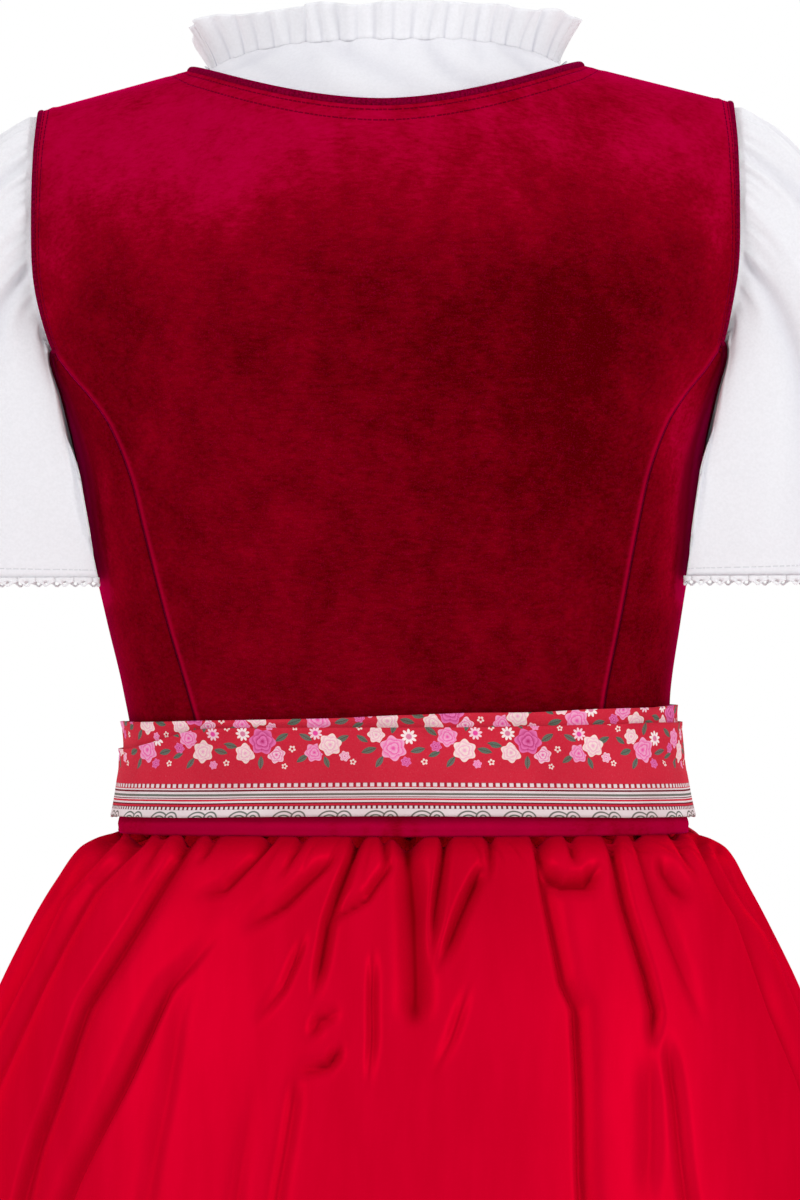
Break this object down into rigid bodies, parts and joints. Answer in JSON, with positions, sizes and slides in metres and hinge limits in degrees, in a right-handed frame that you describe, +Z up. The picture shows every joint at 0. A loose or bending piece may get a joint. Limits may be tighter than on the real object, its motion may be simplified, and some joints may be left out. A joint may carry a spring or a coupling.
{
  "type": "dirndl set of bodice dress, blouse and apron",
  "caption": "Dirndl set worn hollow: velvet bodice with gathered satin skirt, puff-sleeved blouse with neck frill, and apron with a printed band tied round the waist.",
  "frame": {"origin": "mid-way between the two neck ends of the bodice's shoulder seams, where the wearer's shoulders carry the garment", "axes": "+Z up, the garment's front faces -Y and its back +Y, +X to the wearer's left"},
  "size_m": [0.7555, 0.6308, 1.0578],
  "materials": {
    "velvet": "crimson cotton velvet with a short, soft nap",
    "binding": "dark wine bias binding with a slight sheen",
    "satin": "bright red satin with a soft sheen",
    "blouse": "white cotton lawn, matt",
    "lace": "white picot lace edging",
    "print": "red cotton printed with roses and a striped border",
    "button": "old-silver coloured metal"
  },
  "bodies": {
    "root": {"apron_band": "print", "apron_panel": "print", "apron_tie": "print", "armhole_binding_left": "binding", "armhole_binding_right": "binding", "blouse_back": "blouse", "blouse_front": "blouse", "bodice_back": "velvet", "bodice_front_left": "velvet", "bodice_front_right": "velvet", "bodice_side_back_left": "velvet", "bodice_side_back_right": "velvet", "bodice_side_front_left": "velvet", "bodice_side_front_right": "velvet", "bow_knot": "print", "bow_loop_left": "print", "bow_loop_right": "print", "bow_tail_over": "print", "bow_tail_under": "print", "button_1": "button", "button_2": "button", "button_3": "button", "button_4": "button", "button_5": "button", "button_6": "button", "neck_binding": "binding", "neck_frill": "blouse", "skirt_back": "satin", "skirt_front": "satin", "sleeve_lace_left": "lace", "sleeve_lace_right": "lace", "sleeve_left": "blouse", "sleeve_right": "blouse", "waist_strip": "velvet"}
  },
  "joints": []
}
